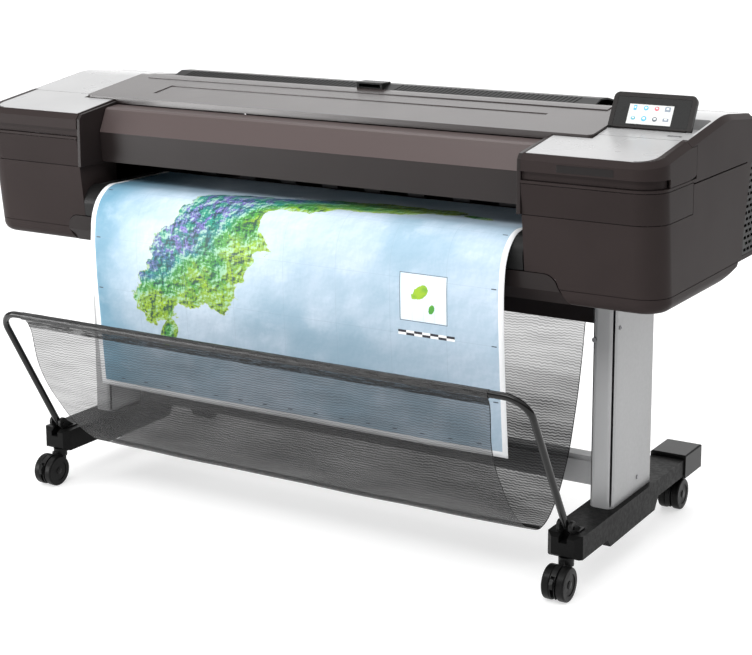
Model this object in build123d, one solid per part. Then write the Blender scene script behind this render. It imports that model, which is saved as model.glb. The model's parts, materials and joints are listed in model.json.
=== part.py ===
from build123d import *
import math
import os

# Large format roll plotter on a wheeled stand, with a paper catch basket.
# Millimetres. +X runs along the roll to the user's right, +Y to the back, +Z up.
# Every size below is measured from the stand's centre plane and the floor.

# ---- driving dimensions -------------------------------------------------------
WIDTH = 1802.0              # over both end modules
MODULE_INNER = 596.0        # inner face of each end module, from the centre plane
FRONT = -361.0              # front face of the end modules
REAR = 185.0                # rear top edge of the end modules
UNDERSIDE = 626.0           # flat bottom of the end modules
CREST = 998.0               # highest line of the crowned tops
WALL = 3.5                  # moulded wall thickness
CORNER = 60.0               # vertical corner radius of the end modules
BEVEL = 12.0                # band between the side faces and the white tops
GAP = 1.2                   # parting gap between covers

LEG_X = 704.5               # centre plane of each leg, foot and caster
LEG_WIDTH = 56.0
LEG_FRONT = -170.0
LEG_REAR = 49.0
FOOT_WIDTH = 82.0
FOOT_FRONT = -358.0
FOOT_REAR = 338.5
FOOT_TOP = 138.0
FOOT_BOTTOM = 86.0
WHEEL_R = 37.5
TRAIL = 34.0                # distance of a caster's wheels behind its stem
LEVER_REACH = 28.0          # brake lever's pin in front of the wheels' axle
LEVER_Z = 53.0
STEM_FRONT = -338.0
STEM_REAR = 301.0

BAR_R = 8.0                 # tube of the basket's bar
BAR_Y = -533.0
BAR_Z = 480.0
PIVOT_Y = -342.0            # where the bar's arms turn in the feet
PIVOT_Z = 152.0
WINDOW_HINGE_Y = -222.0
WINDOW_HINGE_Z = 948.0
PLATE_GAP = 1.3             # shadow gap round the pale top plates

PAPER_WIDTH = 1118.0        # 44 inch roll
PAPER_SHIFT = 8.0           # the web runs a little right of centre
PLATEN_Z = 766.0
ROLL_Y = 245.0
ROLL_Z = 800.0
ROLL_R = 65.0

COVER_SEAM = -188.0         # rear edge of the ink covers on top
COVER_SIDE_SEAM = -158.0    # rear edge of their side skirts
COVE_LOW = 889.0            # finger cove along the foot of each ink cover
COVE_HIGH = 907.0
COVE_DEPTH = 8.0
PANEL_HALF = 688.0          # half width of the centre top panel
PANEL_FRONT = -215.0

# The overall box is centred on the origin in X and Y, with the floor at Z = 0.
Y_CENTRE = (BAR_Y - BAR_R + FOOT_REAR) / 2

OUTER = WIDTH / 2


# ---- helpers ------------------------------------------------------------------
def block(x0, x1, y0, y1, z0, z1):
    """Box between six planes."""
    return Pos((x0 + x1) / 2, (y0 + y1) / 2, (z0 + z1) / 2) * Box(x1 - x0, y1 - y0, z1 - z0)


def rod_x(radius, y, z, x0, x1):
    """Round bar along X."""
    return Pos((x0 + x1) / 2, y, z) * Rot(0, 90, 0) * Cylinder(radius, x1 - x0)


def rod_y(radius, x, z, y0, y1):
    """Round bar along Y."""
    return Pos(x, (y0 + y1) / 2, z) * Rot(90, 0, 0) * Cylinder(radius, y1 - y0)


def rod_z(radius, x, y, z0, z1):
    """Round bar along Z."""
    return Pos(x, y, (z0 + z1) / 2) * Cylinder(radius, z1 - z0)


def prism_x(outline, x0, x1):
    """Solid with a YZ outline, from x0 to x1."""
    face = Plane.YZ * make_face(outline)
    return Pos(x0, 0, 0) * extrude(face, amount=x1 - x0)


def poly_x(points, x0, x1):
    """Solid with a straight-sided YZ outline, from x0 to x1."""
    return prism_x(Polyline(*points, close=True), x0, x1)


def mirrored(part):
    """The same piece on the left side."""
    return mirror(part, about=Plane.YZ)


def group(*parts):
    """Several separate solids kept in one node."""
    return Compound(children=[solid for part in parts for solid in part.solids()])


def turned_x(part, degrees, y, z):
    """The piece turned about a line along X through (y, z)."""
    return Pos(0, y, z) * Rot(degrees, 0, 0) * Pos(0, -y, -z) * part


def front_at(z):
    """Y of the leaning front face below the fascia."""
    return FRONT + max(0.0, 883.0 - z) * 0.124


def top_at(y):
    """Height of the crowned top ahead of its crest."""
    return 944.0 + 0.15 * (y + 350.0)


# ---- end modules --------------------------------------------------------------
def module_outline(inset):
    """Side outline of an end module, moved inwards by inset."""
    low = UNDERSIDE + inset
    front_top = (FRONT + inset, top_at(FRONT) - inset)
    slope_end = (-10.0, top_at(-10.0) - inset)
    crest = (32.0, CREST - inset)
    crest_end = (60.0, CREST - 1.3 - inset)
    rear_top = (REAR - inset, 984.0 - inset)
    return (
        Line(front_top, slope_end)
        + ThreePointArc(slope_end, crest, crest_end)
        + Polyline(
            crest_end,
            rear_top,
            (180.0 - inset, 878.0),
            (131.0 - inset, 675.0),
            (108.0 - inset, 650.0 + inset),
            (-4.0, low),
            (front_at(UNDERSIDE) + inset, low),
            (FRONT + inset, 883.0),
            front_top,
        )
    )


def module_solid(inset, inner=MODULE_INNER):
    """Right end module as a full solid, moved inwards by inset."""
    side = OUTER - inset
    body = prism_x(module_outline(inset), inner, side)
    upright = [
        e
        for e in body.edges()
        if abs(e.center().X - side) < 0.01 and e.center().Y < -330.0 and e.length > 40.0
        and abs(e.bounding_box().size.Y) < 40.0
    ]
    body = fillet(upright, CORNER - inset)
    rim = [
        e
        for e in body.edges()
        if e.bounding_box().min.Z > 930.0
        and (e.center().X > side - 2.0 or e.bounding_box().max.Y < FRONT + CORNER + 2.0)
    ]
    body = chamfer(rim, BEVEL)
    keel = [
        e
        for e in body.edges()
        if e.bounding_box().max.Z < UNDERSIDE + inset + 0.5
        and (e.center().X > side - CORNER or e.center().Y < -320.0)
        and e.center().X > inner + 1.0
    ]
    return fillet(keel, 24.0)


def crown_slab(high, low, x0, x1, y0, y1):
    """Layer that follows the crowned top, between two heights above it."""
    upper = prism_x(module_outline(-high), x0, x1)
    lower = prism_x(module_outline(-low), x0 - 1, x1 + 1)
    return (upper - lower) & block(x0, x1, y0, y1, 900.0, 1050.0)


def cover_zone(grow):
    """Space of the right ink cover; grow adds the parting gap."""
    low = COVE_LOW - grow
    top = block(MODULE_INNER - 9, OUTER + 9, -400, COVER_SEAM + grow, low, 1010)
    skirt = block(840, OUTER + 9, COVER_SEAM, COVER_SIDE_SEAM + grow, low, 955.5 + grow)
    if not grow:
        skirt &= rod_x(top_at(COVER_SEAM) - low - 1, COVER_SEAM, top_at(COVER_SEAM), 800, 950)
    under_panel = block(500, PANEL_HALF + 1.5 - grow, PANEL_FRONT - 1.5 + grow, 0, 900, 1010)
    return top + skirt - under_panel


def band_zone(grow):
    """Space of the snap-on panel below the right ink cover."""
    return block(MODULE_INNER - 9, OUTER + 9, -400, -172 + grow, 815.5 - grow, 881.0 + grow)


def end_outline(grow):
    """Front view of the lower front cover, which runs under both modules."""
    z0, z1 = 610.0, 691.0 + grow
    left, right = -651.0 - grow, 640.0
    return (
        Polyline((left, 660), (left, 655), (left + 26, z0), (706 + grow, z0), (672 + grow, 664))
        + ThreePointArc((672 + grow, 664), (662 + grow, 682 + grow), (right, z1))
        + Line((right, z1), (left + 31, z1))
        + ThreePointArc((left + 31, z1), (left + 9, z1 - 9), (left, 660))
    )


def lower_cover_zone(grow):
    """Space of the lower front cover, through the front walls."""
    face = Plane.XZ * make_face(end_outline(grow))
    return Pos(0, -290, 0) * extrude(face, amount=80)


def module_skin():
    """Moulded wall of the right module, with its recessed finger cove."""
    skin = module_solid(0.0) - module_solid(WALL, MODULE_INNER - 5)
    skin += block(MODULE_INNER, MODULE_INNER + WALL, FRONT + 2, PANEL_FRONT - 2, 640, 950)
    skin &= module_solid(0.0)
    cove = block(MODULE_INNER - 5, OUTER + 5, -400, -300, COVE_LOW, COVE_HIGH)
    band = (module_solid(0.0) - module_solid(COVE_DEPTH + WALL)) & block(
        MODULE_INNER, OUTER, -400, -300, COVE_LOW - WALL, COVE_HIGH + WALL
    )
    return (skin + band) - (cove - module_solid(COVE_DEPTH))


def screen_pocket(grow):
    """Pocket behind the touchscreen, sunk in the right top."""
    plan = RectangleRounded(202 + 2 * grow, 112 + 2 * grow, 8)
    return Pos(784, -82, 900) * extrude(plan, amount=110)


def button_hole(grow):
    """Pill shaped hole of the power button."""
    return Pos(850, -161, 930) * extrude(SlotOverall(34 + 2 * grow, 8 + 2 * grow), amount=80)


def plate_plan(y0, y1, x0, front_radius):
    """Plan of a white top plate, as a tall solid."""
    x1 = OUTER - BEVEL - 0.8
    tall = block(x0, x1, y0, y1, 900, 1050)
    if front_radius:
        uprights = [e for e in tall.edges() if e.bounding_box().size.Z > 100]
        corner = [e for e in uprights if e.center().X > x1 - 1 and e.center().Y < y0 + 1]
        tall = fillet(corner, front_radius)
    return tall


def cover_plate(grow):
    """Right white plate on the ink cover."""
    plan = plate_plan(FRONT + BEVEL + 0.8 - grow, COVER_SEAM + grow, MODULE_INNER + 5 - grow, CORNER - BEVEL)
    plan -= block(500, PANEL_HALF + 3.5 - grow, PANEL_FRONT - 3.5 + grow, 0, 900, 1060)
    return plan


def rear_plate(grow):
    """White plate behind the ink cover, beside the centre panel."""
    return plate_plan(COVER_SEAM + GAP + 0.8 - grow, 170 + grow, PANEL_HALF + 2 - grow, 0)


def sunk_layer(depth):
    """Top layer of the crowned surface, down to a depth."""
    return crown_slab(0.0, -depth, MODULE_INNER, OUTER, FRONT, REAR)


def module_shell(skin):
    """Fixed shell of a module: sides, rear, bottom and the deck under the plates."""
    shell = skin - cover_zone(GAP) - band_zone(GAP)
    shell -= rear_plate(PLATE_GAP) & sunk_layer(2.0)
    shell -= block(OUTER - 5.0, OUTER + 5, -270, 152, 877.0, 880.0)
    seam = (module_solid(0.0) - module_solid(1.5)) & block(500, 950, -400, 200, 659.5, 661.0)
    return shell - seam


def ink_cover(skin):
    """Flip-up ink cover of the right module, with its pocket for the white plate."""
    cover = skin & cover_zone(0.0)
    return cover - (cover_plate(PLATE_GAP) & sunk_layer(2.0))


def top_panel():
    """Centre lid between the modules, with a shallow recess and a raised rear rim."""
    panel = crown_slab(5.0, 0.3, -PANEL_HALF, PANEL_HALF, PANEL_FRONT, 8)
    middle = MODULE_INNER - 2
    panel += crown_slab(0.5, -3.5, -middle, middle, PANEL_FRONT, 8)
    panel += block(-middle, middle, PANEL_FRONT, PANEL_FRONT + 4, 955, top_at(PANEL_FRONT) + 2)
    panel -= crown_slab(5.5, 3.4, -522, 522, -157, -81)
    panel -= crown_slab(5.5, 1.5, -640, 640, -31, -27)
    panel += crown_slab(7.0, 4.5, -640, 640, -27, 8)
    corners = [
        e
        for e in panel.edges()
        if abs(abs(e.center().X) - PANEL_HALF) < 0.1 and e.center().Y < PANEL_FRONT + 1
    ]
    return fillet([e for e in corners if e.bounding_box().size.Z > 4 and e.bounding_box().size.Y < 1], 14)


def front_window():
    """Hinged front cover over the printing zone."""
    half = 584.5
    outer = [(-217, 953), (-259, 950), (-265, 946), (-289, 893), (-282, 820), (-217, 820)]
    inner = [(-210, 949.5), (-257.5, 946.6), (-262, 944), (-285.5, 892.4), (-278.8, 815), (-210, 815)]
    shell = poly_x(outer, -half, half) - poly_x(inner, -half + 3, half - 3)
    back = block(-half - 1, half + 1, -240, -200, 810, 944)
    return shell - back + rod_x(2.4, WINDOW_HINGE_Y, WINDOW_HINGE_Z, -half, half)


def window_end_plate():
    """Dark upright plate that closes the right end of the window's bay."""
    points = [(FRONT + 2, 815.5), (FRONT + 2, 931), (-349, 942.5), (-218, 961), (-218, 815.5)]
    return poly_x(points, 586, 595.5)


def lower_front_cover():
    """Cover below the paper exit, lapping under both modules."""
    lean = [(front_at(700) - 2, 700), (front_at(655) - 2, 655), (front_at(655) + 14, 627.5),
            (front_at(655) + 22, 627.5), (front_at(655) + 3, 657), (front_at(700) + 3, 700)]
    return poly_x(lean, -720, 720) & lower_cover_zone(0.0)


def output_lip():
    """Rounded lip that the sheet curls over as it leaves."""
    half = MODULE_INNER - 2
    outline = (
        Line((-296, PLATEN_Z), (-300, PLATEN_Z))
        + ThreePointArc((-300, PLATEN_Z), (-330, 752), (-343, 722))
        + Polyline((-343, 722), (-339, 693.5), (-333, 693.5), (-337, 720))
        + ThreePointArc((-337, 720), (-326, 747), (-300, PLATEN_Z - 5))
        + Polyline((-300, PLATEN_Z - 5), (-296, PLATEN_Z - 5), (-296, PLATEN_Z))
    )
    return prism_x(outline, -half, half)


def platen():
    """Ribbed suction table under the print path, a closed box."""
    half = MODULE_INNER - 2
    table = block(-half, half, -295.5, -78, 700, PLATEN_Z - 2)
    table -= block(-half + 4, half - 4, -291.5, -82, 704, PLATEN_Z - 6)
    ribs = [block(x - 2, x + 2, -290, -82, PLATEN_Z - 3, PLATEN_Z) for x in range(-576, 577, 48)]
    for rib in ribs:
        table += rib
    return table


def base_frame():
    """Steel pan and cross beam that carry the whole mechanism."""
    pan = block(-590, 590, -300, 325, 640, 643)
    pan += block(-590, 590, 322, 325, 640, 725)
    beam = block(-880, 880, -160, -60, 655, 699) - block(-890, 890, -157, -63, 658, 696)
    pan += block(-590, -586, -160, -60, 642, 656) + block(586, 590, -160, -60, 642, 656)
    return pan + beam


# ---- rear of the machine ------------------------------------------------------
def rear_box():
    """Right rear housing behind the module, open where its grille sits."""
    def body(inset):
        top = Polyline((90, 645 + inset), (330 - inset, 645 + inset), (334 - inset, 660),
                       (334 - inset, 925), (305 - inset, 962 - inset), (90, 962 - inset), close=True)
        return prism_x(top, 600 + inset, 881 - inset)
    box = body(0.0) - body(3.0) - module_solid(-2.0)
    box += (body(0.0) - module_solid(-2.0)) & body(0.0) & (module_solid(-5.0) - module_solid(-2.0))
    window = block(870, 890, 196, 324, 656, 864)
    return box - window


def vent_grille():
    """Louvred grille of the right rear housing."""
    plate = block(878.2, 880.8, 196.4, 323.6, 656.4, 863.6)
    for row in range(14):
        z = 663 + row * 14.2
        start = 204 + (row % 2) * 10
        for slot in range(5):
            y = start + slot * 22.5
            plate -= block(870, 890, y, y + 16, z, z + 7)
    return plate


def roll_cover():
    """Ribbed lid over the paper roll, hinged low at the back."""
    half = MODULE_INNER - 5
    outline = (
        Polyline((12, 1000.5), (48, 1013), (86, 1011), (205, 984))
        + ThreePointArc((205, 984), (294, 950), (331, 862))
        + Polyline((331, 862), (331, 735), (327, 735), (327, 862))
        + ThreePointArc((327, 862), (290, 947), (205, 980))
        + Polyline((205, 980), (86, 1007), (48, 1009), (12, 996.5), (12, 1000.5))
    )
    lid = prism_x(outline, -half, half)
    lid += rod_x(6, 329, 735, -half, half)
    handle = block(-36, 36, 14, 54, 1000, 1018) - block(-30, 30, 10, 48, 1006, 1014)
    return lid + handle


def roll_spindle():
    """Spindle with its two hubs and flanges."""
    spindle = rod_x(10, ROLL_Y, ROLL_Z, -602.5, 602.5)
    edge = PAPER_WIDTH / 2
    for side in (-1, 1):
        flange = sorted((side * (edge + 1), side * (edge + 7)))
        hub = sorted((side * (edge - 60), side * (edge + 1)))
        spindle += rod_x(72, ROLL_Y, ROLL_Z, *flange)
        spindle += rod_x(37.7, ROLL_Y, ROLL_Z, *hub)
    return spindle


def paper_roll():
    """Media roll on its three inch core."""
    edge = PAPER_WIDTH / 2
    return rod_x(ROLL_R, ROLL_Y, ROLL_Z, -edge, edge) - rod_x(38.1, ROLL_Y, ROLL_Z, -edge - 1, edge + 1)


def paper_sheet():
    """Printed sheet that leaves over the lip and hangs in front."""
    table = Line((-78, 768), (-298, 768))
    over = TangentArc((-298, 768), (-358, 722), tangent=(-1, 0))
    bulge = TangentArc(over @ 1, (-374, 600), tangent=over % 1)
    hang = TangentArc(bulge @ 1, (-349, 279), tangent=bulge % 1)
    ribbon = Plane.YZ * trace(table + over + bulge + hang, 0.5)
    edge = PAPER_WIDTH / 2
    return Pos(PAPER_SHIFT - edge, 0, 0) * extrude(ribbon, amount=PAPER_WIDTH)


# ---- print mechanism ----------------------------------------------------------
CARRIAGE_X = 735.0
CARRIAGE_HALF = 72.0
HEAD_X = (CARRIAGE_X - 34.0, CARRIAGE_X + 34.0)
UPPER_ROD = (-112.0, 905.0)
LOWER_ROD = (-112.0, 820.0)
BELT_Y = -86.0
BELT_Z = 868.0
BELT_R = 12.0
BELT_X = 862.0
FEED_Y = -62.0
FEED_R = 13.0
PINCH_R = 10.5


def carriage_rails():
    """Two ground rods that the carriage runs on."""
    return group(rod_x(8, *UPPER_ROD, -885, 885), rod_x(8, *LOWER_ROD, -885, 885))


def print_carriage():
    """Carriage body with its two rod bearings, belt clamp and cutter arm."""
    x0, x1 = CARRIAGE_X - CARRIAGE_HALF, CARRIAGE_X + CARRIAGE_HALF
    body = block(x0, x1, -200, -96, 790, 925)
    body -= block(x0 + 8, x1 - 8, -192, -130, 800, 930)
    body -= rod_x(8.05, *UPPER_ROD, x0 - 1, x1 + 1)
    body -= rod_x(8.05, *LOWER_ROD, x0 - 1, x1 + 1)
    for x in HEAD_X:
        body -= block(x - 16.5, x + 16.5, -182.5, -141.5, 780, 801)
    strand = BELT_Z + BELT_R + 1.2
    for z in (strand - 7, strand + 3):
        body += block(CARRIAGE_X - 15, CARRIAGE_X + 15, -97, BELT_Y + 5, z, z + 4)
    cutter_arm = block(x0 - 14, x0 + 1, -196, -170, 776, 830)
    return body + cutter_arm


def printheads():
    """Two printheads that sit in the carriage."""
    heads = []
    for x in HEAD_X:
        case = block(x - 24, x + 24, -188, -134, 800, 868)
        case += block(x - 20, x + 20, -182, -140, 868, 880)
        heads.append(case + block(x - 16, x + 16, -182, -142, 771, 800))
    return group(*heads)


def drive_belt():
    """Toothed belt, one flat loop behind the carriage."""
    def loop(radius):
        plan = Plane.XZ * SlotCenterToCenter(2 * BELT_X, 2 * radius)
        return Pos(0, BELT_Y + 3, BELT_Z) * extrude(plan, amount=6)
    return loop(BELT_R + 2.0) - loop(BELT_R + 0.3)


def belt_pulley(x):
    """Pulley with two flanges, turning on an axis along Y."""
    pulley = rod_y(BELT_R, x, BELT_Z, BELT_Y - 3, BELT_Y + 3)
    pulley += rod_y(BELT_R + 2.5, x, BELT_Z, BELT_Y - 5, BELT_Y - 3.4)
    pulley += rod_y(BELT_R + 2.5, x, BELT_Z, BELT_Y + 3.4, BELT_Y + 5)
    pulley += rod_y(6, x, BELT_Z, BELT_Y - 5, BELT_Y + 5)
    return pulley - rod_y(3.05, x, BELT_Z, BELT_Y - 6, BELT_Y + 6)


def drive_motors():
    """Carriage motor at the right, idler bracket at the left, and the feed motor."""
    carriage = rod_y(22, BELT_X, BELT_Z, BELT_Y + 6, BELT_Y + 52)
    carriage += rod_y(3, BELT_X, BELT_Z, BELT_Y - 6, BELT_Y + 7)
    idler = block(-BELT_X - 16, -BELT_X + 16, BELT_Y + 6, BELT_Y + 12, 830, 906)
    idler += rod_y(3, -BELT_X, BELT_Z, BELT_Y - 6, BELT_Y + 7)
    feed = rod_x(24, FEED_Y, PLATEN_Z - FEED_R, 606, 660) - rod_x(5.05, FEED_Y, PLATEN_Z - FEED_R, 600, 630)
    return group(carriage, idler, feed)


def feed_roller():
    """Grit roller that drives the sheet."""
    roller = rod_x(FEED_R, FEED_Y, PLATEN_Z - FEED_R, -588, 588)
    return roller + rod_x(5, FEED_Y, PLATEN_Z - FEED_R, -600, 625)


def pinch_rollers():
    """Shaft with the pinch wheels that press on the feed roller."""
    z = PLATEN_Z + PINCH_R + 0.6
    shaft = rod_x(3, FEED_Y, z, -590, 590)
    for x in range(-540, 541, 120):
        shaft += rod_x(PINCH_R, FEED_Y, z, x - 22, x + 22)
    return shaft


def service_station():
    """Capping and wiping unit below the parked carriage."""
    tray = block(640, 850, -200, -96, 702, 768) - block(646, 844, -194, -102, 712, 780)
    for x in HEAD_X:
        tray += block(x - 20, x + 20, -185, -140, 711, 769)
    return tray + block(660, 668, -190, -106, 711, 769)


def ink_cartridges():
    """Three cartridges in each module, side by side."""
    cells = []
    for x in (645, 727, 809):
        cell = block(x - 37, x + 37, -338, -214, 760, 872)
        cell += block(x - 20, x + 20, -344, -338, 800, 850)
        cells += [cell, mirrored(cell)]
    return group(*cells)


def electronics_board():
    """Main board in a steel tray inside the right rear housing."""
    tray = block(640, 860, 200, 318, 665, 668)
    tray += block(648, 852, 208, 310, 674, 676)
    for x, y in ((652, 212), (848, 212), (652, 306), (848, 306)):
        tray += rod_z(4, x, y, 667, 675)
    for x, y, size, height in ((700, 250, 22, 9), (770, 265, 15, 6), (815, 235, 12, 14)):
        tray += block(x - size, x + size, y - size, y + size, 675, 676 + height)
    return tray


def power_inlet():
    """Mains socket in the rear wall with its three pins, and the frame of the switch."""
    shell = block(686, 716, 306, 335.5, 700, 724) - block(689, 713, 312, 340, 703, 721)
    frame = block(730, 752, 316, 336, 697, 727) - block(733, 749, 310, 340, 699.3, 724.7)
    frame -= rod_x(2.05, 328, 712, 731, 751)
    for x, z in ((695, 709), (707, 709), (701, 716)):
        shell += block(x - 1, x + 1, 311, 328, z - 2, z + 2)
    return group(shell, frame)


def power_switch():
    """Rocker beside the mains socket, pressed in at its lower half."""
    rocker = poly_x([(336, 712), (338.5, 722), (324, 722), (324, 702), (336.5, 702)], 734.5, 747.5)
    return rocker + rod_x(2, 328, 712, 731.2, 750.8)


# ---- control panel ------------------------------------------------------------
SCREEN_X0 = 689.0
SCREEN_X1 = 877.0
SCREEN_Y = -134.0           # tilt axis of the touchscreen
SCREEN_Z = 980.0
SCREEN_HEIGHT = 80.0
RIM = 10.0                  # frame of the touchscreen round its glass
SCREEN_TILT = 60.0


def touchscreen():
    """Tilting control panel: a thick rounded slab with a sunken glass seat."""
    far = SCREEN_Y + SCREEN_HEIGHT
    slab = block(SCREEN_X0, SCREEN_X1, SCREEN_Y, far, SCREEN_Z - 9, SCREEN_Z + 3)
    uprights = [e for e in slab.edges() if e.bounding_box().size.Z > 11]
    slab = fillet([e for e in uprights if e.center().Y > far - 1], 13)
    slab = fillet(slab.faces().sort_by(Axis.Z)[0].edges(), 3)
    seat = block(SCREEN_X0 + RIM, SCREEN_X1 - RIM, SCREEN_Y + 4, far - RIM, SCREEN_Z + 1, SCREEN_Z + 5)
    barrel = rod_x(3, SCREEN_Y, SCREEN_Z, SCREEN_X0 + 12, SCREEN_X1 - 12)
    return turned_x(slab - seat, SCREEN_TILT, SCREEN_Y, SCREEN_Z) + barrel


def screen_glass():
    """Glass over the display."""
    edge = RIM + 0.4
    glass = block(SCREEN_X0 + edge, SCREEN_X1 - edge, SCREEN_Y + 4.4, SCREEN_Y + SCREEN_HEIGHT - edge,
                  SCREEN_Z + 1, SCREEN_Z + 2.6)
    return turned_x(glass, SCREEN_TILT, SCREEN_Y, SCREEN_Z)


def top_plates():
    """Fixed white plates; the right one has the screen's pocket and the button's hole."""
    skin = sunk_layer(1.9)
    left = mirrored(rear_plate(0.0) & skin)
    right = (rear_plate(0.0) & skin) - button_hole(0.4)
    tray = screen_pocket(0.0) & crown_slab(0.0, -24.0, MODULE_INNER, OUTER, FRONT, REAR)
    hollow = screen_pocket(-2.0) & crown_slab(3.0, -22.0, MODULE_INNER, OUTER, FRONT, REAR)
    return group(left, (right + tray) - hollow)


def power_button():
    """Power button, flush in the right top plate."""
    z = top_at(-161.0)
    pill = extrude(SlotOverall(34, 8), amount=7)
    return Pos(850, -161, z - 6) * pill


# ---- stand --------------------------------------------------------------------
def leg():
    """Right leg, an extruded tube with rounded front corners."""
    x0, x1 = LEG_X - LEG_WIDTH / 2, LEG_X + LEG_WIDTH / 2
    tube = block(x0, x1, LEG_FRONT, LEG_REAR, FOOT_TOP, UNDERSIDE)
    tube = fillet([e for e in tube.edges() if e.length > 400 and e.center().Y < LEG_FRONT + 1], 16)
    tube = fillet([e for e in tube.edges() if e.length > 400 and e.center().Y > LEG_REAR - 1], 4)
    core = block(x0 + 3, x1 - 3, LEG_FRONT + 3, LEG_REAR - 3, FOOT_TOP + 4, UNDERSIDE - 4)
    return tube - core


def foot():
    """Right foot beam, deeper in the middle, with a tapered front nose."""
    x0, x1 = LEG_X - FOOT_WIDTH / 2, LEG_X + FOOT_WIDTH / 2
    side = [(FOOT_FRONT, FOOT_BOTTOM + 6), (FOOT_FRONT, FOOT_TOP - 7), (FOOT_FRONT + 12, FOOT_TOP),
            (FOOT_REAR - 8, FOOT_TOP), (FOOT_REAR - 8, 98), (70, 98), (50, 70), (-200, 67),
            (-214, FOOT_BOTTOM), (FOOT_FRONT + 8, FOOT_BOTTOM)]
    beam = poly_x(side, x0, x1)
    nose = [e for e in beam.edges() if e.center().Y < FOOT_FRONT + 0.5 and e.bounding_box().size.Z > 30]
    beam = chamfer(nose, 14)
    beam -= block(LEG_X - 9.8, LEG_X + 9.8, FOOT_FRONT - 1, PIVOT_Y + 12, FOOT_TOP - 18, FOOT_TOP + 1)
    for y in (STEM_FRONT, STEM_REAR):
        beam -= rod_z(6.05, LEG_X, y, 60, 116)
    return beam


def foot_cap():
    """Moulded cap over the rear end of the right foot."""
    x0, x1 = LEG_X - 45, LEG_X + 45
    cap = block(x0, x1, 228, FOOT_REAR, 92, 148)
    cap = chamfer(cap.faces().sort_by(Axis.Y)[-1].edges(), 7)
    cap = chamfer(cap.faces().sort_by(Axis.Z)[-1].edges(), 3)
    half = FOOT_WIDTH / 2 + 0.2
    return cap - block(LEG_X - half, LEG_X + half, 200, FOOT_REAR - 7.5, 80, FOOT_TOP + 0.3)


def cross_brace():
    """Low brace between the legs, with a stepped top."""
    half = LEG_X - LEG_WIDTH / 2
    points = [(-50, 140), (-50, 195), (-46, 197), (-46, 206), (-10, 206), (-10, 140)]
    return poly_x(points, -half, half)


def stand_top_beam():
    """Black beam between the tops of the legs; the basket hangs from it."""
    half = LEG_X - LEG_WIDTH / 2
    return block(-half, half, -95, -50, 532, 592) - block(-half + 1, half - 1, -92, -53, 535, 589)


def bar_bracket():
    """Fork on the right foot that holds the bar's pivot pin."""
    plate = block(LEG_X - 24, LEG_X + 24, PIVOT_Y + 12, PIVOT_Y + 44, FOOT_TOP, FOOT_TOP + 3)
    for side in (-1, 1):
        x = sorted((LEG_X + side * 10.0, LEG_X + side * 18.0))
        ear = rod_x(13, PIVOT_Y, PIVOT_Z + 2, *x)
        ear += poly_x([(PIVOT_Y - 13, PIVOT_Z + 2), (PIVOT_Y + 12, PIVOT_Z + 6), (PIVOT_Y + 42, FOOT_TOP),
                       (PIVOT_Y - 1, FOOT_TOP)], *x)
        plate += ear & block(600, 800, -380, -280, FOOT_TOP, 200)
    return plate - rod_x(4.05, PIVOT_Y, PIVOT_Z, LEG_X - 30, LEG_X + 30)


def bin_bar():
    """U-shaped tube that holds the basket open, with its two pivot pins."""
    reach = math.hypot(BAR_Y - PIVOT_Y, BAR_Z - PIVOT_Z)
    start, end = (-LEG_X, 0), (LEG_X, 0)
    path = FilletPolyline(start, (-LEG_X, reach), (LEG_X, reach), end, radius=55)
    lean = Plane(origin=(0, PIVOT_Y, PIVOT_Z), x_dir=(1, 0, 0),
                 z_dir=(0, -(BAR_Z - PIVOT_Z) / reach, (BAR_Y - PIVOT_Y) / reach))
    route = lean * path
    section = Plane(origin=route @ 0, z_dir=route % 0) * Circle(BAR_R)
    bar = sweep(section, path=route)
    for side in (-1, 1):
        bar += Pos(side * LEG_X, PIVOT_Y, PIVOT_Z) * Sphere(BAR_R)
        bar += rod_x(4, PIVOT_Y, PIVOT_Z, side * LEG_X - 19, side * LEG_X + 19)
    return bar


def basket_mesh():
    """Sling of mesh cloth from the bar, down and back up to the top beam."""
    path = Spline((-531, 468), (-496, 345), (-437, 245), (-354, 146), (-292, 101), (-240, 95),
                  (-188, 122), (-132, 195), (-92, 320), (-74, 430), (-70, 531))
    ribbon = Plane.YZ * trace(path, 2.0)
    return Pos(-622, 0, 0) * extrude(ribbon, amount=1244)


def stand_fasteners():
    """Round plugs and socket screws on the legs."""
    pieces = []
    plug = rod_y(5.5, LEG_X - 20, 517, LEG_FRONT - 3, LEG_FRONT)
    screw = rod_x(5, -144, 544, LEG_X + LEG_WIDTH / 2, LEG_X + LEG_WIDTH / 2 + 2)
    screw -= rod_x(2.5, -144, 544, LEG_X + LEG_WIDTH / 2 + 0.8, LEG_X + LEG_WIDTH / 2 + 3)
    low = rod_x(5, -30, 172, LEG_X + LEG_WIDTH / 2, LEG_X + LEG_WIDTH / 2 + 2)
    for piece in (plug, screw, low):
        pieces += [piece, mirrored(piece)]
    return group(*pieces)


# ---- casters ------------------------------------------------------------------
def caster_fork(side, stem_y, braked):
    """Swivelling caster body: stem and boss over a round web between its wheels."""
    x = side * LEG_X
    y = stem_y - TRAIL
    web = rod_x(WHEEL_R + 1, y, WHEEL_R, x - 6, x + 6) & block(x - 6, x + 6, y - 50, y + 60, 10, 90)
    neck = block(x - 6, x + 6, y + 10, stem_y + 14, WHEEL_R, 80)
    boss = rod_z(17, x, stem_y, 66, FOOT_BOTTOM - 0.5 if stem_y < 0 else 97.5)
    post = rod_z(6, x, stem_y, 75, 112)
    body = web + neck + boss + post
    for edge in (-1, 1):
        lane = sorted((x + edge * 6.6, x + edge * 27.5))
        body -= rod_x(WHEEL_R + 1.5, y, WHEEL_R, *lane)
    body -= rod_x(4.05, y, WHEEL_R, x - 30, x + 30)
    if braked:
        body -= block(x - 4.3, x + 4.3, y - 60, y - 19, 0, 62)
        body -= rod_x(2.05, y - LEVER_REACH, LEVER_Z, x - 8, x + 8)
    return body


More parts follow.
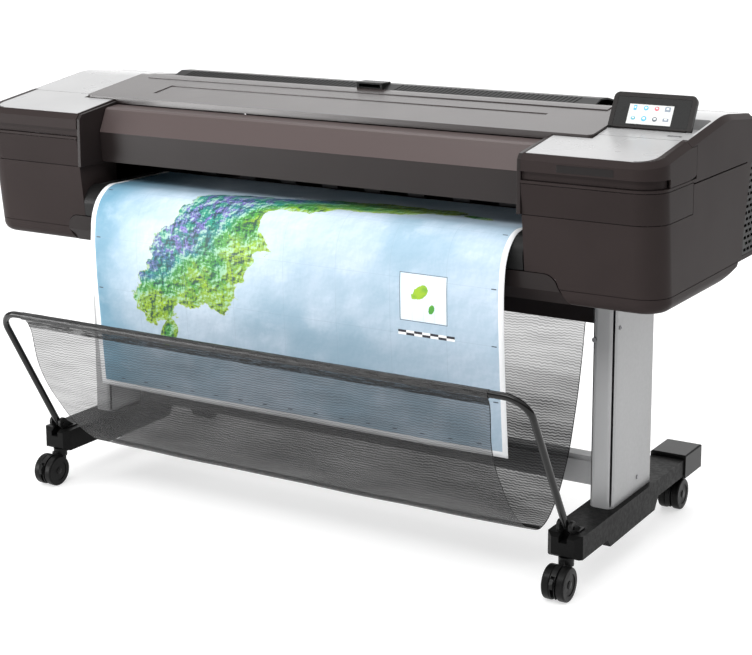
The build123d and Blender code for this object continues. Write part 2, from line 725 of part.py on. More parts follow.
def caster_wheels(side, stem_y):
    """Twin wheels on one axle."""
    x = side * LEG_X
    y = stem_y - TRAIL
    axle = rod_x(4, y, WHEEL_R, x - 24, x + 24)
    for edge in (-1, 1):
        lane = sorted((x + edge * 7.0, x + edge * 26.0))
        disc = rod_x(WHEEL_R, y, WHEEL_R, *lane)
        disc = fillet(disc.edges(), 4)
        face = sorted((x + edge * 24.5, x + edge * 27.0))
        disc -= rod_x(24, y, WHEEL_R, *face) - rod_x(9, y, WHEEL_R, *face)
        axle += disc
    return axle


def brake_lever(side):
    """Foot lever on a front caster."""
    x = side * LEG_X
    y = STEM_FRONT - TRAIL - LEVER_REACH
    tab = [(y - 14, LEVER_Z - 16), (y - 16, LEVER_Z - 4), (y - 8, LEVER_Z + 5), (y + 3, LEVER_Z + 5),
           (y + 4, LEVER_Z - 5), (y - 4, LEVER_Z - 20)]
    return poly_x(tab, x - 4, x + 4) + rod_x(2, y, LEVER_Z, x - 5.9, x + 5.9)


# ---- assembly -----------------------------------------------------------------
def build_nodes():
    """Every named piece of the plotter."""
    skin = module_skin()
    shell = module_shell(skin)
    lap = lower_cover_zone(GAP)
    right_shell = shell - lap - screen_pocket(0.6) - button_hole(0.4)
    left_shell = mirrored(shell) - lap
    cover = ink_cover(skin)
    plate = cover_plate(0.0) & sunk_layer(1.9)
    band = skin & band_zone(0.0)
    box = rear_box() - rod_x(10.05, ROLL_Y, ROLL_Z, 590, 610)
    sockets = block(685.7, 716.3, 328, 340, 699.7, 724.3) + block(729.7, 752.3, 328, 340, 696.7, 727.3)
    nodes = {
        "module_shell_left": left_shell,
        "module_shell_right": right_shell,
        "band_panels": group(band, mirrored(band)),
        "ink_cover_left": mirrored(cover),
        "ink_cover_right": cover,
        "cover_plate_left": mirrored(plate),
        "cover_plate_right": plate,
        "top_plates": top_plates(),
        "top_panel": top_panel(),
        "front_window": front_window(),
        "window_end_plates": group(window_end_plate(), mirrored(window_end_plate())),
        "lower_front_cover": lower_front_cover(),
        "output_lip": output_lip(),
        "platen": platen(),
        "base_frame": base_frame(),
        "rear_box_left": mirrored(box),
        "rear_box_right": box - sockets,
        "vent_grilles": group(vent_grille(), mirrored(vent_grille())),
        "roll_cover": roll_cover(),
        "roll_spindle": roll_spindle(),
        "paper_roll": paper_roll(),
        "paper_sheet": paper_sheet(),
        "carriage_rails": carriage_rails(),
        "print_carriage": print_carriage(),
        "printheads": printheads(),
        "drive_belt": drive_belt(),
        "motor_pulley": belt_pulley(BELT_X),
        "idler_pulley": belt_pulley(-BELT_X),
        "drive_motors": drive_motors(),
        "feed_roller": feed_roller(),
        "pinch_rollers": pinch_rollers(),
        "service_station": service_station(),
        "ink_cartridges": ink_cartridges(),
        "electronics_board": electronics_board(),
        "power_inlet": power_inlet(),
        "power_switch": power_switch(),
        "touchscreen": touchscreen(),
        "screen_glass": screen_glass(),
        "power_button": power_button(),
        "leg_left": mirrored(leg()),
        "leg_right": leg(),
        "foot_left": mirrored(foot()),
        "foot_right": foot(),
        "foot_end_caps": group(foot_cap(), mirrored(foot_cap())),
        "cross_brace": cross_brace(),
        "stand_top_beam": stand_top_beam(),
        "bar_brackets": group(bar_bracket(), mirrored(bar_bracket())),
        "bin_bar": bin_bar(),
        "basket_mesh": basket_mesh(),
        "stand_fasteners": stand_fasteners(),
    }
    for side, hand in ((-1, "left"), (1, "right")):
        nodes["brake_lever_" + hand] = brake_lever(side)
        for stem_y, place in ((STEM_FRONT, "front"), (STEM_REAR, "rear")):
            name = place + "_" + hand
            nodes["caster_fork_" + name] = caster_fork(side, stem_y, place == "front")
            nodes["caster_wheels_" + name] = caster_wheels(side, stem_y)
    return nodes


def main():
    os.makedirs("parts", exist_ok=True)
    for name, part in build_nodes().items():
        export_step(Pos(0, -Y_CENTRE, 0) * part, "parts/" + name + ".step")


main()
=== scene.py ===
"""Looks of a large format roll plotter on a wheeled stand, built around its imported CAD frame."""
import json
import math

import bmesh
import bpy
from mathutils import Euler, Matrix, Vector, noise


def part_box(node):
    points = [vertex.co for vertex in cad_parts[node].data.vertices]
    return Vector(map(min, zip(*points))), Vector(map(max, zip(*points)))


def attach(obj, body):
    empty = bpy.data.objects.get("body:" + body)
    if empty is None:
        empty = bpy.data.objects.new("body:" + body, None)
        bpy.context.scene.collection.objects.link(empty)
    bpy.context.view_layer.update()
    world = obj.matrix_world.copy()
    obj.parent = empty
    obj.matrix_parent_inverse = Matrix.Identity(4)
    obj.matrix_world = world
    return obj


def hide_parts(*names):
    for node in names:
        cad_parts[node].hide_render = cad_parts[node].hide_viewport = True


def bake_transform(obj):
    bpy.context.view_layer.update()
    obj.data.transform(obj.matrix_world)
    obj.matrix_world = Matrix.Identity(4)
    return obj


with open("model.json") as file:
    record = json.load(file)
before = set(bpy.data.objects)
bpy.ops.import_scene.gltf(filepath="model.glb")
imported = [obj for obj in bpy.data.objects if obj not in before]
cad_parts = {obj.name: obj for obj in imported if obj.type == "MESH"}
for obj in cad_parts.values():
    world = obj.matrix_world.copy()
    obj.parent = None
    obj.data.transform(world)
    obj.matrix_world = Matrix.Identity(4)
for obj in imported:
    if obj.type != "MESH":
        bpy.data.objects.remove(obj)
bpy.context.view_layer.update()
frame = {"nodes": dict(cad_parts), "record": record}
nodes = frame["nodes"]

MM = 0.001


# ---- node graph helpers -----------------------------------------------------------
class Nodes:
    """Short ways of adding nodes to one node tree."""

    def __init__(self, tree):
        self.tree = tree

    def add(self, kind, inputs=None, **settings):
        """Adds a node, sets its properties and fills or links its inputs."""
        made = self.tree.nodes.new(kind)
        for key, value in settings.items():
            setattr(made, key, value)
        for key, value in (inputs or {}).items():
            self.feed(made.inputs[key], value)
        return made

    def feed(self, socket, value):
        """Links a socket to another, or sets its constant."""
        if isinstance(value, bpy.types.NodeSocket):
            self.tree.links.new(value, socket)
        else:
            socket.default_value = value

    def math(self, operation, a, b=0.0, clamp=False):
        """One step of arithmetic."""
        made = self.add("ShaderNodeMath", {0: a, 1: b}, operation=operation)
        made.use_clamp = clamp
        return made.outputs[0]

    def ramp(self, value, low, high, start=0.0, end=1.0):
        """Smooth step of a value between two limits."""
        made = self.add(
            "ShaderNodeMapRange",
            {"Value": value, "From Min": low, "From Max": high, "To Min": start, "To Max": end},
            interpolation_type="SMOOTHSTEP",
        )
        return made.outputs["Result"]

    def total(self, *values):
        """Sum of several values."""
        made = values[0]
        for value in values[1:]:
            made = self.math("ADD", made, value)
        return made

    def product(self, a, b):
        return self.math("MULTIPLY", a, b)

    def mix(self, factor, first, second):
        """Blend of two colours: the first at 0, the second at 1."""
        made = self.add("ShaderNodeMix", data_type="RGBA")
        self.feed(made.inputs["Factor"], factor)
        self.feed(made.inputs[6], first)
        self.feed(made.inputs[7], second)
        return made.outputs[2]

    def place(self, scale=(1.0, 1.0, 1.0)):
        """Coordinates on the piece, in metres, stretched by a scale."""
        coordinates = self.add("ShaderNodeTexCoord").outputs["Object"]
        return self.add("ShaderNodeMapping", {"Vector": coordinates, "Scale": scale}).outputs[0]

    def noise(self, scale, detail=3.0, vector=None, roughness=0.5):
        """Cloudy noise; scale is in features per metre."""
        made = self.add(
            "ShaderNodeTexNoise",
            {"Vector": vector or self.place(), "Scale": scale, "Detail": detail, "Roughness": roughness},
        )
        return made.outputs[0]


class Graph(Nodes):
    """A material under construction: its node tree and its Principled shader."""

    def __init__(self, name):
        self.material = bpy.data.materials.new(name)
        self.material.use_nodes = True
        super().__init__(self.material.node_tree)
        self.shader = self.tree.nodes["Principled BSDF"]

    def bump(self, height, distance, strength):
        """Fine relief on the whole surface."""
        made = self.add("ShaderNodeBump", {"Height": height, "Distance": distance, "Strength": strength})
        self.feed(self.shader.inputs["Normal"], made.outputs[0])

    def finish(self, **inputs):
        """Fills the shader's inputs and gives the finished material."""
        for key, value in inputs.items():
            self.feed(self.shader.inputs[key.replace("_", " ")], value)
        return self.material


def tint(colour, factor):
    """A colour made lighter or darker by a factor."""
    return tuple(min(1.0, c * factor) for c in colour[:3]) + (1.0,)


# ---- materials ---------------------------------------------------------------------
def moulded(name, colour, roughness=0.42, grain=0.05, gloss=0.14, dust_and_sheen=0.0):
    """Spark textured moulded plastic: fine grain, slow colour drift and, when asked, a painted sheen:
    upward slopes made paler to stand in for the light from above.
    """
    g = Graph(name)
    drift = g.noise(5.0, 2.0)
    marks = g.noise(7.0, 3.0)
    body = g.mix(g.ramp(drift, 0.3, 0.7), tint(colour, 0.95), tint(colour, 1.06))
    # painted sheen: faces turned upwards get a paler tone that stands in for the overhead light falling on
    # them
    if dust_and_sheen:
        facing = g.add("ShaderNodeNewGeometry").outputs["Normal"]
        upward = g.add("ShaderNodeSeparateXYZ", {0: facing}).outputs["Z"]
        body = g.mix(g.ramp(upward, 0.15, 0.4), body, tint(colour, dust_and_sheen))
    fine = g.noise(1500.0, 2.0)
    coarse = g.noise(620.0, 3.0)
    texture = g.math("ADD", fine, g.product(coarse, 0.8))
    g.bump(texture, 0.00012, grain)
    rough = g.ramp(marks, 0.3, 0.7, roughness - 0.012, roughness + 0.015)
    return g.finish(Base_Color=body, Roughness=rough, Specular_IOR_Level=gloss)


def glossy(name, colour, roughness=0.12):
    """Polished plastic or enamel with a faint orange peel and fine wipe marks."""
    g = Graph(name)
    peel = g.noise(210.0, 2.0)
    wipes = g.noise(16.0, 6.0, g.place((1.0, 7.0, 2.0)))
    body = g.mix(g.ramp(wipes, 0.4, 0.75), colour, tint(colour, 1.3))
    g.bump(peel, 0.0002, 0.12)
    rough = g.ramp(wipes, 0.35, 0.8, roughness, roughness + 0.12)
    return g.finish(Base_Color=body, Roughness=rough, Specular_IOR_Level=0.3)


def powder_coat(name, colour, roughness=0.45, metallic=0.0, gloss=0.15):
    """Powder coated steel: fine pebbled skin over a slightly uneven tone."""
    g = Graph(name)
    pebble = g.add("ShaderNodeTexVoronoi", {"Vector": g.place(), "Scale": 900.0}).outputs["Distance"]
    waves = g.noise(120.0, 3.0)
    tone = g.noise(3.0, 3.0, g.place((1.0, 1.0, 0.35)))
    body = g.mix(g.ramp(tone, 0.3, 0.7), tint(colour, 0.95), tint(colour, 1.05))
    g.bump(g.math("ADD", pebble, waves), 0.0002, 0.1)
    rough = g.ramp(waves, 0.3, 0.7, roughness - 0.06, roughness + 0.06)
    return g.finish(Base_Color=body, Roughness=rough, Metallic=metallic, Specular_IOR_Level=gloss)


def machined(name, colour, roughness=0.25, stretch=(2.0, 60.0, 60.0)):
    """Bare metal with fine drawn lines along one axis."""
    g = Graph(name)
    lines = g.noise(60.0, 4.0, g.place(stretch))
    body = g.mix(g.ramp(lines, 0.3, 0.7), tint(colour, 0.88), colour)
    g.bump(lines, 0.0001, 0.15)
    rough = g.ramp(lines, 0.3, 0.7, roughness - 0.06, roughness + 0.08)
    return g.finish(Base_Color=body, Roughness=rough, Metallic=1.0)


def rubber(name, colour, roughness=0.6):
    """Hard rubber or polyurethane, dusty in places."""
    g = Graph(name)
    dust_and_sheen = g.noise(45.0, 6.0)
    skin = g.noise(700.0, 3.0)
    body = g.mix(g.ramp(dust_and_sheen, 0.55, 0.85, 0.0, 0.3), colour, (0.022, 0.021, 0.020, 1.0))
    g.bump(skin, 0.0002, 0.25)
    rough = g.ramp(dust_and_sheen, 0.3, 0.8, roughness - 0.1, roughness + 0.15)
    return g.finish(Base_Color=body, Roughness=rough, Specular_IOR_Level=0.12)


def screen_gloss(name, colour):
    """Black touch glass with faint finger smears."""
    g = Graph(name)
    smear = g.noise(55.0, 5.0, g.place((1.0, 2.5, 1.0)))
    body = g.mix(g.ramp(smear, 0.4, 0.8), colour, tint(colour, 1.8))
    rough = g.ramp(smear, 0.45, 0.8, 0.04, 0.16)
    return g.finish(Base_Color=body, Roughness=rough, Specular_IOR_Level=0.08)


def lit(name, colour, strength):
    """Backlit part of the display with a faint pixel grid."""
    g = Graph(name)
    grid = g.add("ShaderNodeTexChecker", {"Vector": g.place(), "Scale": 4000.0}).outputs["Fac"]
    glow = g.mix(g.product(grid, 0.12), colour, tint(colour, 0.7))
    return g.finish(Base_Color=glow, Emission_Color=glow, Emission_Strength=strength, Roughness=0.25)


def board(name, colour):
    """Circuit board with darker tracks."""
    g = Graph(name)
    cells = g.add(
        "ShaderNodeTexVoronoi", {"Vector": g.place(), "Scale": 160.0}, distance="MANHATTAN", feature="F1"
    ).outputs["Distance"]
    body = g.mix(g.ramp(cells, 0.2, 0.45), colour, tint(colour, 0.45))
    return g.finish(Base_Color=body, Roughness=g.ramp(cells, 0.1, 0.6, 0.3, 0.55))


# ---- the printed map ------------------------------------------------------------------
SHEET_WIDTH = 1.118
MARGIN = 0.013


def map_print(name, length):
    """An invented relief map on coated paper: sea, land, islands, grid, inset and scale bar."""
    g = Graph(name)
    uv = g.add("ShaderNodeTexCoord").outputs["UV"]
    metres = g.add("ShaderNodeMapping", {"Vector": uv, "Scale": (SHEET_WIDTH, length, 1.0)}).outputs[0]
    parts = g.add("ShaderNodeSeparateXYZ", {0: metres})
    x, y = parts.outputs[0], parts.outputs[1]

    coast = g.noise(7.0, 9.0, metres, 0.62)
    swell = g.noise(3.2, 6.0, metres, 0.5)
    patches = g.noise(13.0, 8.0, metres, 0.6)

    def raised(scale, reach, roughness):
        """Hill shading: terrain height here less the height a step towards the light."""
        away = g.add("ShaderNodeMapping", {"Vector": metres, "Location": (reach, -reach, 0)}).outputs[0]
        here, there = g.noise(scale, 9.0, metres, roughness), g.noise(scale, 9.0, away, roughness)
        return here, g.math("SUBTRACT", here, there)

    def ridges(scale):
        """Branching mountain ridges: 0 in the valleys, about 1 along the crests."""
        drift = g.add("ShaderNodeTexNoise", {"Vector": metres, "Scale": scale * 0.6, "Detail": 3.0})
        push = g.add("ShaderNodeVectorMath", {0: drift.outputs["Color"], "Scale": 0.05}, operation="SCALE")
        bent = g.add("ShaderNodeVectorMath", {0: metres, 1: push.outputs[0]}, operation="ADD")
        folded = g.math("SUBTRACT", g.noise(scale, 6.0, bent.outputs[0], 0.62), 0.5)
        return g.ramp(g.math("ABSOLUTE", folded), 0.13, 0.0)

    def along_across(cx, cy, degrees):
        """Coordinates along and across an axis through a point of the sheet."""
        cosine, sine = math.cos(math.radians(degrees)), math.sin(math.radians(degrees))
        dx, dy = g.math("SUBTRACT", x, cx), g.math("SUBTRACT", y, cy)
        along = g.math("ADD", g.product(dx, cosine), g.product(dy, sine))
        across = g.math("SUBTRACT", g.product(dy, cosine), g.product(dx, sine))
        return along, across

    def oval(cx, cy, half_long, half_short, degrees):
        """Distance from an oval's centre, 1 on its outline."""
        along, across = along_across(cx, cy, degrees)
        first = g.math("POWER", g.math("DIVIDE", along, half_long), 2.0)
        second = g.math("POWER", g.math("DIVIDE", across, half_short), 2.0)
        return g.math("SQRT", g.math("ADD", first, second))

    main_land = g.math("MINIMUM", oval(0.33, 0.37, 0.22, 0.125, 40.0), oval(0.60, 0.56, 0.33, 0.055, 12.0))
    isles = g.math("MINIMUM", oval(0.225, 0.165, 0.035, 0.022, 60.0), oval(0.98, 0.60, 0.04, 0.012, -10.0))
    ragged = g.product(g.math("SUBTRACT", coast, 0.5), 1.7)
    height = g.math("ADD", g.math("MINIMUM", main_land, isles), ragged)
    land = g.ramp(height, 1.0, 0.985)
    inland = g.ramp(height, 1.0, 0.45)
    relief, hills = raised(15.0, 0.0034, 0.66)
    swells = raised(8.0, 0.004, 0.6)[1]

    deep, mid_sea, shelf = (0.13, 0.29, 0.40, 1), (0.29, 0.42, 0.52, 1), (0.45, 0.55, 0.65, 1)
    sea = g.mix(g.ramp(swell, 0.36, 0.6), mid_sea, shelf)
    sea = g.mix(g.ramp(x, 0.2, 0.03), sea, deep)
    sea = g.mix(g.ramp(height, 1.9, 1.0, 0.0, 0.55), sea, (0.60, 0.70, 0.80, 1))
    sea = g.mix(g.ramp(patches, 0.5, 0.75, 0.0, 0.3), sea, (0.66, 0.74, 0.83, 1))
    sea = g.mix(g.ramp(swells, -0.05, 0.05, 0.25, 0.0), sea, (0.20, 0.34, 0.44, 1))

    spine = along_across(0.30, 0.41, 36.0)[1]
    crests = ridges(19.0)
    rise = g.math("ADD", g.ramp(spine, -0.08, 0.03, 0.0, 0.5), g.product(inland, 0.12))
    rise = g.math("ADD", rise, g.product(g.math("SUBTRACT", relief, 0.5), 0.9))
    lowland, foothill = (0.30, 0.48, 0.015, 1), (0.06, 0.30, 0.03, 1)
    valley, mountain, summit = (0.02, 0.27, 0.19, 1), (0.03, 0.10, 0.30, 1), (0.20, 0.14, 0.50, 1)
    ground = g.mix(g.ramp(rise, 0.04, 0.16), lowland, foothill)
    ground = g.mix(g.ramp(rise, 0.18, 0.34), ground, valley)
    ground = g.mix(g.product(crests, g.ramp(rise, 0.22, 0.44)), ground, mountain)
    ground = g.mix(g.product(g.ramp(crests, 0.6, 1.0), g.ramp(rise, 0.34, 0.54)), ground, summit)
    ground = g.mix(g.product(ridges(45.0), 0.35), ground, (0.02, 0.13, 0.06, 1))
    ground = g.mix(g.ramp(hills, 0.008, 0.05, 0.0, 0.65), ground, (0.42, 0.68, 0.50, 1))
    ground = g.mix(g.ramp(hills, -0.008, -0.05, 0.0, 0.9), ground, (0.005, 0.045, 0.05, 1))
    ground = g.mix(g.ramp(height, 0.95, 1.0, 0.0, 0.7), ground, (0.40, 0.50, 0.06, 1))
    ink = g.mix(land, sea, ground)

    def line_every(value, spacing, half):
        """1 on thin lines at a regular spacing."""
        phase = g.math("FRACT", g.math("DIVIDE", value, spacing))
        wrapped = g.math("ABSOLUTE", g.math("SUBTRACT", phase, 0.5))
        return g.math("GREATER_THAN", wrapped, 0.5 - half / spacing)

    graticule = g.math("MAXIMUM", line_every(x, 0.14, 0.0006), line_every(y, 0.125, 0.0006))
    ink = g.mix(g.product(graticule, 0.35), ink, (0.25, 0.33, 0.42, 1))

    def inside(x0, x1, y0, y1):
        """1 within a rectangle of the sheet."""
        across = g.product(g.math("GREATER_THAN", x, x0), g.math("LESS_THAN", x, x1))
        up = g.product(g.math("GREATER_THAN", y, y0), g.math("LESS_THAN", y, y1))
        return g.product(across, up)

    frame_box = inside(0.865, 0.983, 0.280, 0.388)
    ink = g.mix(frame_box, ink, (0.12, 0.16, 0.2, 1))
    inset_sea = g.mix(g.ramp(swell, 0.4, 0.6), (0.62, 0.76, 0.86, 1), (0.80, 0.87, 0.93, 1))
    large_isle, small_isle = oval(0.915, 0.345, 0.026, 0.014, 38.0), oval(0.944, 0.312, 0.012, 0.007, 70.0)
    inset_shape = g.math("MINIMUM", large_isle, small_isle)
    inset_land = g.math("ADD", inset_shape, g.product(g.noise(38.0, 6.0, metres, 0.6), 1.3))
    inset = g.mix(g.product(line_every(x, 0.028, 0.0005), 0.3), inset_sea, (0.25, 0.33, 0.42, 1))
    inset = g.mix(g.ramp(inset_land, 1.62, 1.57), inset, g.mix(g.ramp(relief, 0.4, 0.6), lowland, foothill))
    ink = g.mix(inside(0.867, 0.981, 0.282, 0.386), ink, inset)

    step = g.math("GREATER_THAN", g.math("FRACT", g.math("DIVIDE", x, 0.04)), 0.5)
    bar = g.mix(step, (0.9, 0.9, 0.9, 1), (0.03, 0.03, 0.04, 1))
    ink = g.mix(inside(0.86, 1.00, 0.253, 0.2585), ink, bar)
    bar_low = g.mix(step, (0.03, 0.03, 0.04, 1), (0.9, 0.9, 0.9, 1))
    ink = g.mix(inside(0.86, 1.00, 0.2475, 0.253), ink, bar_low)

    sides = g.math("MAXIMUM", inside(0.018, 0.030, 0.03, 2.0), inside(1.088, 1.100, 0.03, 2.0))
    foot_row = g.product(inside(0.05, 1.07, 0.0225, 0.0245), line_every(x, 0.07, 0.006))
    marks = g.math("MAXIMUM", g.product(sides, line_every(y, 0.125, 0.0012)), foot_row)
    ink = g.mix(marks, ink, (0.03, 0.04, 0.06, 1))

    printed = inside(MARGIN, SHEET_WIDTH - MARGIN, MARGIN, length + 1.0)
    fibres = g.noise(900.0, 3.0, metres)
    paper = g.mix(fibres, (0.84, 0.85, 0.87, 1), (0.90, 0.91, 0.92, 1))
    colour = g.mix(printed, paper, ink)
    rough = g.ramp(fibres, 0.3, 0.7, 0.42, 0.52)
    g.bump(fibres, 0.00006, 0.2)
    return g.finish(Base_Color=colour, Roughness=rough, Specular_IOR_Level=0.4)


WAVE_LENGTH = 0.014         # along each row of the net
ROW_PITCH = 0.0062
STITCH_PITCH = 0.0021


def mesh_cloth(name, open_share, colour=(0.016, 0.016, 0.0165, 1)):
    """Knitted net: rows of wavy threads with see-through holes between them."""
    g = Graph(name)
    uv = g.add("ShaderNodeTexCoord").outputs["UV"]
    parts = g.add("ShaderNodeSeparateXYZ", {0: uv})
    across, along = parts.outputs[0], parts.outputs[1]
    full_turn = 2 * math.pi
    wobble = g.noise(14.0, 4.0, uv)
    wave = g.math("SINE", g.product(across, full_turn / WAVE_LENGTH))
    shifted = g.total(along, g.product(wave, 0.0008), g.product(wobble, 0.02))
    row = g.math("SINE", g.product(shifted, full_turn / ROW_PITCH))
    weft = g.math("SINE", g.product(across, full_turn / STITCH_PITCH))
    net = g.total(g.product(row, 0.11), g.product(weft, 0.08))
    long_folds = g.add("ShaderNodeMapping", {"Vector": uv, "Scale": (1.0, 5.0, 1.0)}).outputs[0]
    folds = g.noise(5.0, 4.0, long_folds)
    drift = g.product(g.math("SUBTRACT", folds, 0.5), 0.32)
    from_bottom = g.math("ABSOLUTE", g.math("SUBTRACT", along, 0.66))
    denser = g.ramp(from_bottom, 0.30, 0.10, 0.0, 0.22)
    cover = g.math("ADD", g.total(net, drift), g.total(denser, 1.0 - open_share), clamp=True)
    thread = g.mix(g.ramp(row, -1.0, 1.0), tint(colour, 0.7), tint(colour, 1.5))
    g.bump(row, 0.0004, 0.3)
    return g.finish(
        Base_Color=thread, Alpha=cover, Roughness=0.65, Sheen_Weight=0.08, Specular_IOR_Level=0.2
    )


def hem_cloth(name, thin, gloss):
    """Folded layers of the net, sewn together: streaky along the hem, and open where thin."""
    g = Graph(name)
    streak = g.noise(45.0, 6.0, g.place((0.6, 9.0, 9.0)))
    weave = g.noise(900.0, 2.0)
    body = g.mix(g.ramp(streak, 0.4, 0.75), (0.002, 0.002, 0.0022, 1), (0.014, 0.014, 0.0145, 1))
    g.bump(g.math("ADD", streak, weave), 0.0004, 0.35)
    cover = g.ramp(streak, 0.42, 0.55, thin, 1.0)
    return g.finish(
        Base_Color=body, Alpha=cover, Roughness=0.36, Sheen_Weight=0.02, Specular_IOR_Level=gloss
    )


WARM_GREY = (0.0185, 0.0142, 0.0138, 1.0)
CAD_LOOKS = {
    "body_cover": moulded("body_plastic", tint(WARM_GREY, 1.45), 0.40, gloss=0.04),
    "band_cover": moulded("band_plastic", tint(WARM_GREY, 1.3), 0.38, gloss=0.04),
    "top_plate": moulded("plate_plastic", (0.33, 0.33, 0.332, 1), 0.28, 0.03, 0.3),
    "centre_panel": moulded("panel_plastic", tint(WARM_GREY, 1.7), 0.24, 0.03, 0.6),
    # the window's paler upward faces are a painted sheen standing in for the light from above
    "window_cover": moulded("window_plastic", tint(WARM_GREY, 0.9), 0.30, 0.03, 0.2, dust_and_sheen=4.5),
    "end_strip": moulded("strip_plastic", tint(WARM_GREY, 0.9), 0.34),
    "gloss_black": moulded("low_cover_plastic", tint(WARM_GREY, 0.85), 0.26, 0.02),
    "black_plastic": moulded("black_moulding", (0.010, 0.010, 0.010, 1), 0.4),
    "platen_steel": powder_coat("platen_coat", (0.03, 0.03, 0.03, 1), 0.5),
    "frame_steel": powder_coat("frame_coat", (0.018, 0.017, 0.017, 1), 0.5),
    "stand_grey": powder_coat("stand_coat", (0.34, 0.342, 0.346, 1), 0.36, 0.2, 0.3),
    "brace_grey": powder_coat("brace_coat", (0.36, 0.36, 0.366, 1), 0.42, 0.2, 0.3),
    "foot_black": powder_coat("foot_coat", (0.0045, 0.0045, 0.0045, 1), 0.42, 0.0, 0.07),
    "bar_black": glossy("bar_enamel", (0.004, 0.004, 0.004, 1), 0.12),
    "bracket_black": moulded("bracket_nylon", (0.009, 0.009, 0.009, 1), 0.33),
    "wheel_tread": rubber("wheel_rubber", (0.0045, 0.0045, 0.0045, 1), 0.38),
    "brake_black": moulded("brake_nylon", (0.008, 0.008, 0.008, 1), 0.28),
    "mesh_cloth": mesh_cloth("basket_net", 0.38),
    "print_paper": moulded("plain_paper", (0.9, 0.9, 0.9, 1), 0.5),
    "roll_paper": moulded("roll_paper", (0.86, 0.86, 0.84, 1), 0.6),
    "rod_steel": machined("ground_rod", (0.62, 0.62, 0.64, 1), 0.18),
    "roller_rubber": rubber("grit_rubber", (0.05, 0.05, 0.052, 1), 0.7),
    "belt_rubber": rubber("belt_rubber", (0.03, 0.03, 0.03, 1), 0.6),
    "pulley_metal": machined("pulley_metal", (0.7, 0.7, 0.72, 1), 0.3),
    "motor_steel": machined("motor_steel", (0.4, 0.4, 0.42, 1), 0.35),
    "carriage_plastic": moulded("carriage_moulding", (0.03, 0.03, 0.032, 1), 0.4),
    "head_plastic": moulded("head_moulding", (0.05, 0.08, 0.14, 1), 0.35),
    "ink_plastic": glossy("cartridge_plastic", (0.03, 0.03, 0.033, 1), 0.2),
    "board_green": board("board_mask", (0.03, 0.16, 0.06, 1)),
    "inlet_black": moulded("inlet_moulding", (0.02, 0.02, 0.02, 1), 0.4),
    "bezel_black": moulded("bezel_moulding", (0.013, 0.0112, 0.0108, 1), 0.26, 0.02, 0.1),
    "screen_face": screen_gloss("touch_glass", (0.002, 0.002, 0.002, 1)),
    "button_silver": machined("button_metal", (0.45, 0.45, 0.46, 1), 0.3),
    "fastener_steel": machined("fastener_steel", (0.25, 0.25, 0.26, 1), 0.3),
}


# ---- CAD nodes: looks and softened edges ----------------------------------------------
EDGE_RADII = {
    0.4: ("brake_black", "inlet_black"),
    0.5: ("top_plate", "black_plastic"),
    0.6: ("wheel_tread", "carriage_plastic", "ink_plastic"),
    0.8: ("body_cover", "band_cover", "centre_panel", "stand_grey", "bracket_black", "bezel_black"),
    1.0: ("window_cover", "end_strip", "brace_grey"),
    1.2: ("gloss_black", "foot_black"),
}
EDGE_ANGLE = math.radians(20)


def soften(piece, radius):
    """Welds a CAD mesh and rounds its sharp edges, without touching its own vertices."""
    weld = piece.modifiers.new("weld", "WELD")
    weld.merge_threshold = 0.00001
    rounding = piece.modifiers.new("edges", "BEVEL")
    rounding.width = radius
    rounding.segments = 2
    rounding.limit_method = "ANGLE"
    rounding.angle_limit = EDGE_ANGLE
    rounding.use_clamp_overlap = True
    normals = piece.modifiers.new("normals", "WEIGHTED_NORMAL")
    normals.keep_sharp = False
    normals.weight = 60


def dress_cad_nodes():
    """Gives every CAD node its procedural material, and softened edges where its slot has an edge radius.
    """
    for part in frame["record"]["subparts"]:
        piece = nodes[part["node"]]
        slot = part["material_slot"]
        piece.data.materials.clear()
        piece.data.materials.append(CAD_LOOKS[slot])
        for radius, slots in EDGE_RADII.items():
            if slot in slots:
                soften(piece, radius * MM)


# ---- mesh helpers -------------------------------------------------------------------------
def new_piece(name, mesh, material, body, smooth=True):
    """Object for a finished mesh, riding on a CAD body."""
    piece = bpy.data.objects.new(name, mesh)
    bpy.context.scene.collection.objects.link(piece)
    mesh.materials.append(material)
    if smooth:
        mesh.shade_smooth()
    if body:
        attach(piece, body)
    return piece


def strip_mesh(name, rows, uv_of=None):
    """Surface through rows of points, with UVs from a function of (column, row)."""
    bm = bmesh.new()
    grid = [[bm.verts.new(p) for p in row] for row in rows]
    layer = bm.loops.layers.uv.new("UVMap")
    for r in range(len(grid) - 1):
        for c in range(len(grid[0]) - 1):
            ring = ((c, r), (c + 1, r), (c + 1, r + 1), (c, r + 1))
            face = bm.faces.new([grid[b][a] for a, b in ring])
            for loop, (a, b) in zip(face.loops, ring):
                loop[layer].uv = uv_of(a, b) if uv_of else (a, b)
    mesh = bpy.data.meshes.new(name)
    bm.to_mesh(mesh)
    bm.free()
    return mesh


def rounded_slab(name, width, height, depth, radius, bevel=0.0):
    """Rounded rectangle in XY, centred, from z = 0 up to its depth."""
    bm = bmesh.new()
    ring = []
    for corner in range(4):
        cx = (width / 2 - radius) * (1 if corner in (0, 3) else -1)
        cy = (height / 2 - radius) * (1 if corner in (0, 1) else -1)
        for step in range(7):
            turn = math.radians(90 * corner + 15 * step)
            ring.append(bm.verts.new((cx + radius * math.cos(turn), cy + radius * math.sin(turn), 0)))
    face = bm.faces.new(ring)
    top = bmesh.ops.extrude_face_region(bm, geom=[face])["geom"]
    lifted = [v for v in top if isinstance(v, bmesh.types.BMVert)]
    bmesh.ops.translate(bm, verts=lifted, vec=(0, 0, depth))
    bmesh.ops.recalc_face_normals(bm, faces=bm.faces)
    if bevel:
        edges = [e for e in bm.edges if all(v in lifted for v in e.verts)]
        bmesh.ops.bevel(bm, geom=edges, offset=bevel, segments=2, affect="EDGES", profile=0.7)
    mesh = bpy.data.meshes.new(name)
    bm.to_mesh(mesh)
    bm.free()
    return mesh


